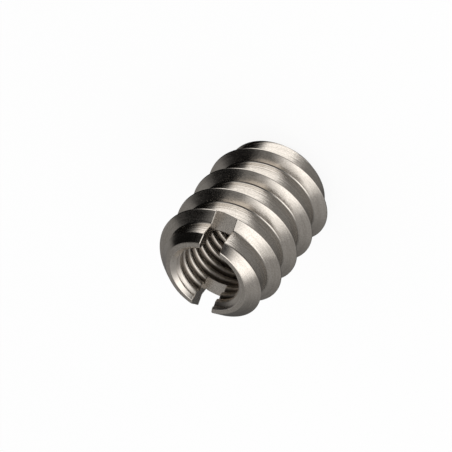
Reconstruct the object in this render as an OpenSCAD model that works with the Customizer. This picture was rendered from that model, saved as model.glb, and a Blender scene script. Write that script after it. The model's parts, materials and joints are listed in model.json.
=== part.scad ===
// Threaded insert: a bush turned from one piece of steel. Its coarse outer thread cuts into wood or
// plastic, its bore takes a bolt, and a slot across one end takes the tool that drives it in.
// It stands on its unslotted end. The origin is the middle of that end's face, +Z runs up the axis
// to the slotted end, and the slot lies along X. Lengths are in millimetres, angles in degrees.

/* [Body] */
// Length from end to end
length = 38.5; // [26:0.5:80]
// Thickness of the wall between the bore and the plain core of the outer thread
wall_w = 4.15; // [2.6:0.05:8]
// Slope of the taper at each end, measured from the axis
end_taper = 45; // [30:1:60]
// Width of the flat ring left round the mouth at each end
end_ring_w = 1.15; // [0.3:0.05:1.6]

/* [Outer thread] */
// Distance along the axis from one turn of the ridge to the next
ridge_pitch = 7.8; // [5:0.1:12]
// Height of the ridge above the plain core
ridge_h = 2.7; // [1:0.1:4]
// Width of the flat along the ridge's crest
crest_w = 0.3; // [0.1:0.05:1.5]
// Angle between the ridge's two flanks
ridge_angle = 60; // [30:1:80]
// Distance from the slotted end down to the crest, where the ridge meets the slot
crest_below_end = 7.2; // [0:0.1:15]

/* [Bore] */
// Diameter of the bolt that the bore takes
bolt_d = 18; // [8:1:30]
// Pitch of the bolt's thread
bolt_pitch = 2.5; // [1:0.25:3]
// Width of the countersunk rim round the mouth at each end
mouth_rim_w = 1.3; // [0.5:0.1:2]
// Full angle of the countersink
mouth_angle = 120; // [80:5:150]

/* [Driving slot] */
// Width of the slot, which runs right across the end
slot_w = 5; // [2:0.5:9]
// Depth of the slot
slot_depth = 7.4; // [3:0.1:15]

/* [Hidden] */

// The bore is as wide as the inside of the bolt's thread, whose grooves go five eighths of the
// way down a sharp 60 degree thread
groove_h = 0.625 * bolt_pitch * cos(30);
bore_r = bolt_d / 2 - groove_h;
mouth_r = bore_r + mouth_rim_w;
mouth_depth = mouth_rim_w / tan(mouth_angle / 2);
end_r = mouth_r + end_ring_w;

core_r = bore_r + wall_w;
outside_r = core_r + ridge_h;
flank_w = ridge_h * tan(ridge_angle / 2);

// How far a cut reaches past the surface that it cuts
past = 1;
// Sides of the outer thread in one turn, and of every round surface
thread_sides = 72;
round_sides = 96;

// The ridge's section from foot to foot: radius, and height above the upper edge of its crest
ridge_section = [
    [core_r, -crest_w - flank_w],
    [outside_r, -crest_w],
    [outside_r, 0],
    [core_r, flank_w],
];
section_n = len(ridge_section);

// The upper edge of the crest at angle 0, where the ridge meets the slot. It climbs by one pitch
// a turn, anticlockwise from above, as on a right-hand screw. The turns reach past both ends.
crest_z = length - crest_below_end;
lowest_turn = -ceil(crest_z / ridge_pitch) - 1;
highest_turn = ceil(crest_below_end / ridge_pitch);

// One upright line of points at the given angle: the section once for each turn, from the lowest up
function upright(angle, top_turn) = [
    for (turn = [lowest_turn : top_turn])
        for (corner = ridge_section)
            [
                corner[0] * cos(angle),
                corner[0] * sin(angle),
                crest_z + corner[1] + ridge_pitch * (turn + angle / 360)
            ]
];

// The solid screw, longer than the insert. After one full turn an upright line meets the first one
// again one section higher, so the first line has a turn more than the others, and a step in it
// closes the screw at the top and at the bottom. The insert's ends are cut clear of both steps.
module screw() {
    first_line = upright(0, highest_turn + 1);
    later_lines = [
        for (side = [1 : thread_sides - 1])
            for (point = upright(360 * side / thread_sides, highest_turn))
                point
    ];
    axis_ends = [[0, 0, first_line[0][2]], [0, 0, first_line[len(first_line) - 1][2]]];
    line_n = len(first_line) - section_n;
    bottom_centre = len(first_line) + len(later_lines);
    top_centre = bottom_centre + 1;

    // Where a line's k-th point stands in the list. The line after the last is the first again.
    function at(side, k) =
        side == 0 ? k :
        side == thread_sides ? k + section_n :
        len(first_line) + (side - 1) * line_n + k;

    // The rim of the top or bottom: round all the lines, then back down the step in the first
    function rim(k) = [
        for (side = [0 : thread_sides - 1]) at(side, k),
        for (step = [0 : section_n - 1]) at(0, k + section_n - step)
    ];

    wall = [
        for (side = [0 : thread_sides - 1])
            for (k = [0 : line_n - 2])
                for (
                    triangle = [
                        [at(side, k), at(side, k + 1), at(side + 1, k + 1)],
                        [at(side, k), at(side + 1, k + 1), at(side + 1, k)]
                    ]
                )
                    triangle
    ];
    bottom_rim = rim(0);
    top_rim = rim(line_n - 1);
    rim_n = len(bottom_rim);
    bottom = [for (k = [0 : rim_n - 1]) [bottom_centre, bottom_rim[k], bottom_rim[(k + 1) % rim_n]]];
    top = [for (k = [0 : rim_n - 1]) [top_centre, top_rim[(k + 1) % rim_n], top_rim[k]]];

    polyhedron(
        points = concat(first_line, later_lines, axis_ends),
        faces = concat(wall, bottom, top)
    );
}

// The turned outline that the screw is cut to: flat ends, with a taper up to the crest at each
module turned_outline() {
    wide_r = outside_r + past;
    taper_h = (wide_r - end_r) / tan(end_taper);
    rotate_extrude($fn = round_sides)
        polygon([
            [0, 0],
            [end_r, 0],
            [wide_r, taper_h],
            [wide_r, length - taper_h],
            [end_r, length],
            [0, length]
        ]);
}

// The space inside: the bore right through, countersunk at both ends
module bore_space() {
    flare = past * tan(mouth_angle / 2);
    rotate_extrude($fn = round_sides)
        polygon([
            [0, -past],
            [mouth_r + flare, -past],
            [bore_r, mouth_depth],
            [bore_r, length - mouth_depth],
            [mouth_r + flare, length + past],
            [0, length + past]
        ]);
}

// The slot, right across the top end on both sides of the bore
module slot_space() {
    slot_l = 2 * (outside_r + past);
    translate([-slot_l / 2, -slot_w / 2, length - slot_depth])
        cube([slot_l, slot_w, slot_depth + past]);
}

module threaded_insert() {
    color([0.80, 0.74, 0.67])
        difference() {
            intersection() {
                screw();
                turned_outline();
            }
            bore_space();
            slot_space();
        }
}

threaded_insert();
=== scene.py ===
"""A threaded insert, turned from one piece of steel, standing on its plain end. Units are metres."""

import json
import math

import bmesh
import bpy
from mathutils import Matrix, Vector


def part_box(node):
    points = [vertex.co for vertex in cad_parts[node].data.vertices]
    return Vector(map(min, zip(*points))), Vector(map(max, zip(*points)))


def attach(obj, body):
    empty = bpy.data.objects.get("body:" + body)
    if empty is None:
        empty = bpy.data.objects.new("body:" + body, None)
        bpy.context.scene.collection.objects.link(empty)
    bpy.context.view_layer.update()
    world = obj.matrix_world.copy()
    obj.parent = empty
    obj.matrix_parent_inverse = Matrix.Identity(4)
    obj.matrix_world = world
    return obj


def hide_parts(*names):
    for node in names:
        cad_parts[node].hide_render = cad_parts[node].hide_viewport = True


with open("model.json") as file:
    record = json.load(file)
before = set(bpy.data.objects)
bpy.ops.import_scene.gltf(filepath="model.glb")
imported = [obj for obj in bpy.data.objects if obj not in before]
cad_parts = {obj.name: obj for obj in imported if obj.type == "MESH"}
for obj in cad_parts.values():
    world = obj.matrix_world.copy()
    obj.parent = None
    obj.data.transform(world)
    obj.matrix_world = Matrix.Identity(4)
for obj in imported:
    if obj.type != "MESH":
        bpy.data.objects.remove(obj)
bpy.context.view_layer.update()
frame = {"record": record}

# The camera: a long lens above the slotted end, turned so that this end hangs to the lower left.
# It stands free of the object, at the photograph's place.
MM = 0.001
view_azimuth = math.radians(-20.5)
view_elevation = math.radians(40.95)
view_roll = math.radians(-142.14)
view_distance = 643.2 * MM
view_target = Vector((1.26, 3.37, 22.38)) * MM


def placed(name, data):
    """A new object, put into the scene."""
    made = bpy.data.objects.new(name, data)
    bpy.context.scene.collection.objects.link(made)
    return made


to_camera = Vector((
    math.cos(view_elevation) * math.cos(view_azimuth),
    math.cos(view_elevation) * math.sin(view_azimuth),
    math.sin(view_elevation),
))
level_right = Vector((0, 0, 1)).cross(to_camera).normalized()
level_up = to_camera.cross(level_right)
right = level_right * math.cos(view_roll) + level_up * math.sin(view_roll)
camera_data = bpy.data.cameras.new("camera")
camera_data.lens = 224.5
camera_data.sensor_width = 36
camera_data.clip_start = 10 * MM
camera = placed("camera", camera_data)
camera.matrix_world = Matrix.Translation(view_target + view_distance * to_camera) @ Matrix(
    (right, to_camera.cross(right), to_camera)
).transposed().to_4x4()
bpy.context.scene.camera = camera

# The insert, one bar of steel, turned and threaded outside and inside and then slotted.
# Its wall is laid out in upright lines, each of them the insert's section at one angle. Two lines
# on each side of the slot follow the slot's wall, so that the slot is cut along them.
low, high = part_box("threaded_insert")
length = high[2] - low[2]
outside_r = (high[0] - low[0]) / 2
bore = next(mount for mount in frame["record"]["mounts"] if mount["name"] == "bolt_bore")
bore_r = bore["dims"]["r_mm"] * MM

ridge_h = 2.7 * MM
ridge_pitch = 7.8 * MM
ridge_crest_w = 0.3 * MM
crest_below_end = 7.2 * MM
mouth_rim_w = 1.3 * MM
end_ring_w = 1.15 * MM
slot_w = 5 * MM
slot_depth = 7.4 * MM
flank_slope = math.tan(math.radians(30))
countersink_slope = math.tan(math.radians(45))

core_r = outside_r - ridge_h
mouth_r = bore_r + mouth_rim_w
end_r = mouth_r + end_ring_w
floor_z = length - slot_depth

# Worn edges, and the roundings that the cutting tool leaves
edge_break = 0.12 * MM
slot_break = 0.16 * MM
crest_rounding = 0.10 * MM
foot_rounding = 0.25 * MM

# How many lines half a turn has, and how many of them stand between the slot's middle and its wall
half_lines = 108
slot_lines = 6


def line_angle(line, radius):
    """The angle of an upright line at a radius: lines near the slot keep their distance from its
    middle, and the others share what is left."""
    at_wall = math.asin(slot_w / 2 / radius)
    at_edge = math.asin((slot_w / 2 + slot_break) / radius)
    half_turn, along = divmod(line, half_lines)
    if along <= slot_lines:
        angle = at_wall * along / slot_lines
    elif along >= half_lines - slot_lines:
        angle = math.pi - at_wall * (half_lines - along) / slot_lines
    else:
        share = (along - slot_lines - 1) / (half_lines - 2 * slot_lines - 2)
        angle = at_edge + (math.pi - 2 * at_edge) * share
    return angle + math.pi * half_turn


def rounded(corners, roundings, steps):
    """The corners of an open line, each after the first and before the last eased into a curve."""
    line = []
    for before, corner, after, rounding in zip(corners, corners[1:], corners[2:], roundings):
        start = corner + (before - corner).normalized() * rounding
        end = corner + (after - corner).normalized() * rounding
        for step in range(steps + 1):
            t = step / steps
            line.append((1 - t) ** 2 * start + 2 * t * (1 - t) * corner + t ** 2 * end)
    return line


def thread_section(foot_r, crest_r, crest_w, pitch, roundings, steps):
    """One turn's section, from foot to foot, in two halves that meet at the middle of the crest.
    The roundings are the foot's and the crest's."""
    flank_w = abs(crest_r - foot_r) * flank_slope
    crest_low = Vector((crest_r, -crest_w))
    crest_high = Vector((crest_r, 0))
    foot_low = Vector((foot_r, -crest_w - flank_w))
    foot_high = Vector((foot_r, flank_w))
    middle = (crest_low + crest_high) / 2
    below = Vector((foot_r, foot_high[1] - pitch))
    above = Vector((foot_r, foot_low[1] + pitch))
    rise = rounded([below, foot_low, crest_low, middle], roundings, steps) + [middle]
    fall = rounded([above, foot_high, crest_high, middle], roundings, steps) + [middle]
    return rise, fall


def threaded_wall(line, section, crest_z, pitch, past_end, corners):
    """The points of one upright line along a thread, from the lowest turn to the highest. What is
    past the ends' cones moves to where the flank meets the cone, or to the foot's own corner."""
    rise, fall = section
    lowest_turn = -math.ceil(crest_z / pitch) - 1
    highest_turn = math.ceil((length - crest_z) / pitch) + 1
    points = []
    for turn in range(lowest_turn, highest_turn + 1):
        for half in (rise, fall):
            here = []
            for radius, offset in half:
                angle = line_angle(line, radius)
                here.append(Vector((radius, crest_z + offset + pitch * (turn + angle / math.tau))))
            depths = [past_end(point) for point in here]
            if depths[0] > 0:
                corner = corners[0] if here[0][1] < length / 2 else corners[1]
                here = [corner for point in here]
            elif max(depths) > 0:
                first = next(k for k, depth in enumerate(depths) if depth > 0)
                share = depths[first - 1] / (depths[first - 1] - depths[first])
                meeting = here[first - 1].lerp(here[first], share)
                here = [meeting if depth > 0 else point for point, depth in zip(here, depths)]
            points += here if half is rise else here[::-1]
    return points


def past_taper(point):
    """How far a point lies outside the 45 degree taper of the nearer end."""
    radius, z = point
    return radius - end_r - min(z, length - z)


def past_countersink(point):
    """How far a point lies inside the cone that is cut away at the nearer mouth."""
    radius, z = point
    return mouth_r - min(z, length - z) * countersink_slope - radius


outer_section = thread_section(
    core_r, outside_r, ridge_crest_w, ridge_pitch, (foot_rounding, crest_rounding), steps=6
)
outer_corner_z = core_r - end_r
outer_corners = (Vector((core_r, outer_corner_z)), Vector((core_r, length - outer_corner_z)))

# The bolt's thread. Its grooves stay inside the countersink's edge, and the height of its crest in
# the middle of the slot is the photograph's.
bolt_pitch = 2.5 * MM
bolt_crest_w = 0.95 * MM
bolt_crest_z = length - 0.47 * MM
bolt_roundings = (0.07 * MM, 0.42 * MM)
groove_r = mouth_r - 0.1 * MM
inner_section = thread_section(
    groove_r, bore_r, bolt_crest_w, bolt_pitch, bolt_roundings, steps=3
)
inner_corner_z = (mouth_r - groove_r) / countersink_slope
inner_corners = (Vector((groove_r, inner_corner_z)), Vector((groove_r, length - inner_corner_z)))

# The flat ring at each end, from its edge at the taper to its edge at the mouth, both broken
taper_break = edge_break * math.sqrt(0.5)
rim_break = edge_break / 2
end_rings = [
    Vector((end_r + taper_break, taper_break)),
    Vector((end_r - edge_break, 0)),
    Vector((mouth_r + rim_break, 0)),
    Vector((mouth_r - rim_break, rim_break / countersink_slope)),
]

mesh = bmesh.new()
lines = []
for line in range(2 * half_lines + 1):
    outer = threaded_wall(
        line, outer_section, length - crest_below_end, ridge_pitch, past_taper, outer_corners
    )
    inner = threaded_wall(
        line, inner_section, bolt_crest_z, bolt_pitch, past_countersink, inner_corners
    )
    top = [Vector((radius, length - z)) for radius, z in end_rings]
    loop = outer + top + inner[::-1] + end_rings[::-1]
    points = []
    for radius, z in loop:
        angle = line_angle(line, radius)
        points.append(mesh.verts.new((radius * math.cos(angle), radius * math.sin(angle), z)))
    lines.append(points)
for one, other in zip(lines, lines[1:]):
    for k in range(len(one)):
        mesh.faces.new((one[k - 1], other[k - 1], other[k], one[k]))
bmesh.ops.remove_doubles(mesh, verts=mesh.verts, dist=0.001 * MM)

# The slot, milled right across the end for the driving tool. The wall between its lines goes, down
# to its floor, the edges beside it are broken, and each side gets its two cheeks and its floor.
near = 0.002 * MM
slot_faces = [f for f in mesh.faces if all(abs(v.co.y) < slot_w / 2 + near for v in f.verts)]
slot_geometry = set(slot_faces)
for face in slot_faces:
    slot_geometry.update(face.edges, face.verts)
bmesh.ops.bisect_plane(
    mesh, geom=list(slot_geometry), dist=near, plane_co=(0, 0, floor_z), plane_no=(0, 0, 1)
)
cut = [
    f for f in mesh.faces
    if all(abs(v.co.y) < slot_w / 2 + near and v.co.z > floor_z - near for v in f.verts)
]
bmesh.ops.delete(mesh, geom=cut, context="FACES")
mesh.normal_update()
on_cheek = [
    v for v in mesh.verts
    if v.is_boundary and abs(abs(v.co.y) - slot_w / 2) < near and v.co.z > floor_z - near
]
inward = {}
for vert in on_cheek:
    step = -vert.normal
    step.y = 0
    if vert.co.z < floor_z + slot_break:
        step.z = 0
    inward[vert] = step.normalized() * slot_break
for vert, step in inward.items():
    vert.co += step
for x_side in (-1, 1):
    for y_side in (-1, 1):
        cheek = [v for v in on_cheek if v.co.x * x_side > 0 and v.co.y * y_side > 0]
        foot = [v for v in cheek if abs(v.co.z - floor_z) < near]
        floor_edge = mesh.edges.new(foot)
        border = [
            e for v in cheek for e in v.link_edges
            if e.is_boundary and e.other_vert(v) in inward
        ]
        bmesh.ops.contextual_create(mesh, geom=list(set(border)) + [floor_edge])
    border = [
        e for e in mesh.edges if e.is_boundary
        and all(abs(v.co.z - floor_z) < near and v.co.x * x_side > 0 for v in e.verts)
    ]
    bmesh.ops.contextual_create(mesh, geom=border)
bmesh.ops.recalc_face_normals(mesh, faces=mesh.faces)

sharp_angle = math.radians(13)
for face in mesh.faces:
    face.smooth = True
for edge in mesh.edges:
    edge.smooth = edge.calc_face_angle(0) < sharp_angle
insert_mesh = bpy.data.meshes.new("insert")
mesh.to_mesh(insert_mesh)
mesh.free()
insert = placed("insert", insert_mesh)
shading = insert.modifiers.new("flat_faces_stay_flat", "WEIGHTED_NORMAL")
shading.keep_sharp = True
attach(insert, "root")
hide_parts("threaded_insert")


class Link:
    """One socket of a material's nodes. Arithmetic with it adds Math nodes to the same tree."""

    def __init__(self, tree, socket=None):
        self.tree = tree
        self.socket = socket

    def node(self, kind, settings=None, values=None, output=0):
        """Any other node: its settings are set first, then the values or links of its sockets."""
        made = self.tree.nodes.new(kind)
        for name, setting in (settings or {}).items():
            setattr(made, name, setting)
        for name, value in (values or {}).items():
            if isinstance(value, Link):
                value.feed(made.inputs[name])
            else:
                made.inputs[name].default_value = value
        return Link(self.tree, made.outputs[output])

    def output(self, name):
        """Another output of the same node."""
        return Link(self.tree, self.socket.node.outputs[name])

    def feed(self, socket):
        """Links it to a socket of a node that is there already."""
        self.tree.links.new(self.socket, socket)

    def math(self, operation, *values):
        return self.node("ShaderNodeMath", {"operation": operation}, dict(enumerate(values)))

    def __add__(self, other):
        return self.math("ADD", self, other)

    __radd__ = __add__

    def __mul__(self, other):
        return self.math("MULTIPLY", self, other)

    __rmul__ = __mul__

    def __sub__(self, other):
        return self.math("SUBTRACT", self, other)

    def __rsub__(self, other):
        return self.math("SUBTRACT", other, self)

    def __mod__(self, other):
        return self.math("FLOORED_MODULO", self, other)

    def __abs__(self):
        return self.math("ABSOLUTE", self)

    def larger(self, other):
        return self.math("MAXIMUM", self, other)

    def rise(self, start, end):
        """0 up to the start and 1 from the end on, with a soft step between them."""
        return self.node(
            "ShaderNodeMapRange",
            {"interpolation_type": "SMOOTHSTEP"},
            {"Value": self, "From Min": start, "From Max": end},
        )

    def noise(self, x, y, z, detail=2):
        """Cloudy noise, from 0 to 1, with about one cloud to a unit of each coordinate."""
        at = self.node("ShaderNodeCombineXYZ", values={"X": x, "Y": y, "Z": z})
        return self.node("ShaderNodeTexNoise", values={"Vector": at, "Scale": 1, "Detail": detail})

    def blend(self, share, first, second):
        """The first colour where the share is 0, and the second where it is 1. A Mix node's
        colours are its inputs 6 and 7 and its output 2."""
        return self.node(
            "ShaderNodeMix", {"data_type": "RGBA"}, {0: share, 6: first, 7: second}, output=2
        )


def new_material(name, piece):
    """A new material with nodes, put on a piece."""
    made = bpy.data.materials.new(name)
    made.use_nodes = True
    piece.data.materials.append(made)
    return made


# The steel, bright from the lathe and uncoated. The tool's fine marks run along the thread, and
# rings go round the tapers and the ends. Painted shade darkens the corner under each turn of the
# ridge, the grooves of the bolt's thread, and the bore further down.
steel = new_material("turned_steel", insert)
sheet = Link(steel.node_tree)
bright_steel = (0.88, 0.82, 0.75, 1)
dull_steel = (0.64, 0.585, 0.525, 1)
corner_painted_shade = (0.16, 0.14, 0.12, 1)
bore_painted_shade = (0.20, 0.165, 0.13, 1)
marks_depth = 0.014 * MM

# The finish is laid out in millimetres
end_mm = length / MM
pitch_mm = ridge_pitch / MM
slot_side_mm = slot_w / 2 / MM
slot_floor_mm = floor_z / MM
mouth_edge_mm = 9.0
place = sheet.node("ShaderNodeTexCoord", output="Object")
in_mm = sheet.node("ShaderNodeVectorMath", {"operation": "SCALE"}, {0: place, "Scale": 1 / MM})
split = sheet.node("ShaderNodeSeparateXYZ", values={0: in_mm})
x, y, z = (split.output(axis) for axis in "XYZ")
radius = sheet.math("SQRT", x * x + y * y)
turn = sheet.math("ARCTAN2", y, x) * (1 / math.tau)

# Height above the ridge's crest, which goes from 0 to one pitch between one turn and the next,
# and distance from the nearer end
along = (z - turn * pitch_mm - (length - crest_below_end) / MM) % pitch_mm
to_end = sheet.math("MINIMUM", z, end_mm - z)

# The places that differ in finish, and those that get painted shade. Each of these is 1 in its own
# place and 0 elsewhere.
on_taper = 1 - abs(radius - to_end - end_r / MM).rise(0.06, 0.12)
on_ring = 1 - to_end.rise(0.03, 0.08)
on_turned = on_taper.larger(on_ring)
in_slot = (
    z.rise(slot_floor_mm - 0.06, slot_floor_mm - 0.03)
    * (1 - abs(y).rise(slot_side_mm + 0.01, slot_side_mm + 0.03))
)
in_bore = (1 - radius.rise(mouth_edge_mm, mouth_edge_mm + 0.1)) * (1 - in_slot)
# The valley between two turns of the ridge, and its upper corner, under the next turn, where shade
# is painted
in_root = (1 - abs(radius - core_r / MM).rise(0.1, 0.3)) * (1 - on_turned) * (1 - in_slot)
under_ridge = in_root * along.rise(5.35, 5.8)
# The grooves of the bolt's thread below the first turn, and the bore well below the mouth, both
# darkened with painted shade
in_groove = in_bore * radius.rise(7.75, 8.25) * (1 - z.rise(end_mm - 2.6, end_mm - 1.4))
down_bore = in_bore * (1 - z.rise(end_mm - 14, end_mm - 4))

# Marks along the thread and round the turned faces, broader bands, fine grain, and slight waves
fine = sheet.noise(along * 3.2, x * 0.05, y * 0.05 + z * 0.02, detail=3)
coarse = sheet.noise(along * 0.9 + 7, x * 0.06, y * 0.06 + z * 0.05)
rings = sheet.noise(radius * 5, x * 0.05, y * 0.05 + z, detail=3)
marks = fine * (1 - on_turned) + rings * on_turned
grain = sheet.noise(x * 3, y * 3, z * 3)
wave = sheet.noise(x * 0.22, y * 0.22, z * 0.3, detail=1)
tone = marks * 0.3 + coarse * 0.25 + grain * 0.45

colour = sheet.blend((tone + in_bore * 0.15).rise(0.3, 0.7), dull_steel, bright_steel)
# Painted shade: the valley's upper corner, under the next turn of the ridge, is darkened towards
# near-black brown
colour = sheet.blend(under_ridge * 0.8, colour, corner_painted_shade)
# Painted shade: the bolt thread's grooves, and the bore further down, are darkened towards dark
# brown
colour = sheet.blend(in_groove * 0.92, colour, bore_painted_shade)
colour = sheet.blend(down_bore * 0.2, colour, bore_painted_shade)
rough = 0.09 + 0.14 * tone + 0.06 * grain + in_bore * 0.11 + in_slot * 0.08
relief = marks * (0.55 + in_root * 5.3) + grain * 0.4 + wave * 6
bump = sheet.node(
    "ShaderNodeBump", values={"Strength": 1, "Distance": marks_depth, "Height": relief}
)
shader = steel.node_tree.nodes["Principled BSDF"]
colour.feed(shader.inputs["Base Color"])
rough.feed(shader.inputs["Roughness"])
bump.feed(shader.inputs["Normal"])
shader.inputs["Metallic"].default_value = 1
shader.inputs["Anisotropic"].default_value = 0.5
shader.inputs["Anisotropic Rotation"].default_value = 0.25

# The floor, a wide sheet of matt white paper on which the insert stands. It catches the insert's
# shadow, and the steel's shine shows the tent in its place.
floor_half_w = 2
floor_mesh = bpy.data.meshes.new("floor")
floor_mesh.from_pydata(
    [(x_side * floor_half_w, y_side * floor_half_w, 0)
     for x_side, y_side in ((-1, -1), (1, -1), (1, 1), (-1, 1))],
    [], [(0, 1, 2, 3)],
)
floor = placed("floor", floor_mesh)
floor.visible_glossy = False


def seen_directly(sheet):
    """1 for the rays that show the background: the camera's, and those of metal and glass."""
    rays = sheet.node("ShaderNodeLightPath", output="Is Camera Ray")
    return rays.larger(rays.output("Is Glossy Ray")).larger(rays.output("Is Transmission Ray"))


paper = new_material("white_floor", floor)
sheet = Link(paper.node_tree)
diffuse = paper.node_tree.nodes["Principled BSDF"]
diffuse.inputs["Base Color"].default_value = (0.95, 0.95, 0.95, 1)
diffuse.inputs["Roughness"].default_value = 0.9
diffuse.inputs["Specular IOR Level"].default_value = 0
lit_paper = Link(sheet.tree, diffuse.outputs[0])
plain_white = sheet.node("ShaderNodeEmission", values={"Color": (1, 1, 1, 1), "Strength": 1})
# What is left of the lit paper is the shadow on it
as_white = seen_directly(sheet) * 0.9
sheet.node(
    "ShaderNodeMixShader", values={0: as_white, 1: lit_paper, 2: plain_white}
).feed(sheet.tree.nodes["Material Output"].inputs["Surface"])

# The room, plain white all round. It lights the insert evenly and a little less than white, and
# shows as white where it is seen.
world = bpy.data.worlds.new("room")
bpy.context.scene.world = world
world.use_nodes = True
sheet = Link(world.node_tree)
background = world.node_tree.nodes["Background"]
background.inputs["Color"].default_value = (1, 1, 1, 1)
background.inputs["Strength"].default_value = 0.8
soft_light = Link(sheet.tree, background.outputs[0])
plain_white = sheet.node("ShaderNodeBackground", values={"Color": (1, 1, 1, 1), "Strength": 1})
sheet.node(
    "ShaderNodeMixShader", values={0: seen_directly(sheet), 1: soft_light, 2: plain_white}
).feed(sheet.tree.nodes["World Output"].inputs["Surface"])

# A grey cloth tent round the table, with two white windows and a black panel, as is usual for
# bright metal. It stands still in the room, and only the metal's shine shows it.
tent_r = 1.8
tent_mesh = bpy.data.meshes.new("tent")
ball = bmesh.new()
bmesh.ops.create_uvsphere(ball, u_segments=48, v_segments=24, radius=tent_r)
ball.to_mesh(tent_mesh)
ball.free()
tent = placed("tent", tent_mesh)
tent.location = (0, 0, length / 2)


def only_in_shine(piece):
    """Hides a piece from all rays but those of the metal's shine."""
    for rays in ("camera", "diffuse", "transmission", "volume_scatter", "shadow"):
        setattr(piece, "visible_" + rays, False)


only_in_shine(tent)
cloth = new_material("tent_cloth", tent)
sheet = Link(cloth.node_tree)
cloth.node_tree.nodes.remove(cloth.node_tree.nodes["Principled BSDF"])
# The ball's faces look outwards, so the tent's light comes from their backs
cloth.cycles.emission_sampling = "BACK"
place = sheet.node("ShaderNodeTexCoord", output="Object")
toward = sheet.node("ShaderNodeVectorMath", {"operation": "NORMALIZE"}, {0: place})


def facing(azimuth, elevation):
    """A direction, turned from the camera's by an azimuth and raised by an elevation."""
    azimuth = math.radians(azimuth) + view_azimuth
    elevation = math.radians(elevation)
    return Vector((
        math.cos(elevation) * math.cos(azimuth),
        math.cos(elevation) * math.sin(azimuth),
        math.sin(elevation),
    ))


def along_way(way):
    """How far the tent's place lies along a direction: 1 straight that way, 0 at a right angle."""
    return sheet.node(
        "ShaderNodeVectorMath", {"operation": "DOT_PRODUCT"}, {0: toward, 1: way}, output="Value"
    )


def within(way, inner, outer):
    """1 within the inner angle from a direction and 0 past the outer one."""
    return along_way(way).rise(math.cos(math.radians(outer)), math.cos(math.radians(inner)))


height = along_way(facing(0, 90))
upper_window = (
    along_way(facing(-111, 17)).rise(-0.06, 0.46)
    * along_way(facing(33, 13.5)).rise(-0.43, 0.14)
    * height.rise(0.05, 0.58)
)
lower_window = (
    (1 - abs(along_way(facing(134, 0))).rise(0.38, 0.60))
    * along_way(facing(44, 0)).rise(0.05, 0.35)
    * (1 - height.rise(-0.55, 0.35))
)

# The black panel: a band that goes through two directions, and two wider places on it
band_axis = facing(93, 40).cross(facing(128, -41)).normalized()
off_band = abs(along_way(band_axis)).rise(math.sin(math.radians(15)), math.sin(math.radians(28)))
panel = (
    ((1 - off_band) * within(facing(110, 0), 60, 76))
    .larger(within(facing(96, 8), 14, 28))
    .larger(within(facing(106, 46), 8, 24) * 0.85)
)

# The cloth itself is darker low down behind the insert and high up in front, and lighter at a side
cloth_light = 0.21
panel_light = 0.004
upper_window_light = 1.2
lower_window_light = 1.08
shade = (
    cloth_light
    - 0.10 * within(facing(-150, -45), 10, 75)
    - 0.04 * within(facing(-145, -40), 15, 45)
    - 0.17 * within(facing(20, 48), 10, 38)
    + 0.07 * within(facing(-98, 40), 5, 48)
)
windows = (upper_window * upper_window_light).larger(lower_window * lower_window_light)
light = shade * (1 - panel) + panel_light + windows

# The shader mixes black with a light a little stronger than the tent's brightest place
most_light = 1.5
dark = sheet.node("ShaderNodeEmission", values={"Color": (0, 0, 0, 1), "Strength": 0})
glow = sheet.node(
    "ShaderNodeEmission", values={"Color": (1, 0.995, 0.985, 1), "Strength": most_light}
)
sheet.node(
    "ShaderNodeMixShader", values={0: light * (1 / most_light), 1: dark, 2: glow}
).feed(sheet.tree.nodes["Material Output"].inputs["Surface"])

# A small black disc under the bore, painted shade that stands for the floor in the insert's shadow
# and closes the bore's lower end in the shine. It is a little lower than the floor, and only the
# metal's shine shows it.
painted_shade_disc_r = 9.5 * MM
painted_shade_disc_drop = 0.05 * MM
painted_shade_disc_mesh = bpy.data.meshes.new("painted_shade_disc")
disc = bmesh.new()
bmesh.ops.create_circle(disc, cap_ends=True, segments=48, radius=painted_shade_disc_r)
disc.to_mesh(painted_shade_disc_mesh)
disc.free()
painted_shade_disc = placed("painted_shade_disc", painted_shade_disc_mesh)
painted_shade_disc.location = (0, 0, -painted_shade_disc_drop)
only_in_shine(painted_shade_disc)
painted_shade_material = new_material("black_painted_shade", painted_shade_disc)
painted_shade_material.node_tree.nodes["Principled BSDF"].inputs["Base Color"].default_value = (0.02, 0.02, 0.02, 1)

# The lamp, a large soft box, high up to one side of the camera. It gives the insert its soft
# shadow, and the metal's shine doesn't show it.
lamp_way = facing(-57, 52)
lamp_distance = 0.6
lamp_data = bpy.data.lights.new("soft_box", "AREA")
lamp_data.size = 0.5
lamp_data.energy = 0.9
lamp = placed("soft_box", lamp_data)
lamp.location = lamp_way * lamp_distance
lamp.rotation_mode = "QUATERNION"
lamp.rotation_quaternion = lamp_way.to_track_quat("Z", "Y")
lamp.visible_glossy = False
bpy.context.scene.view_settings.view_transform = "Standard"
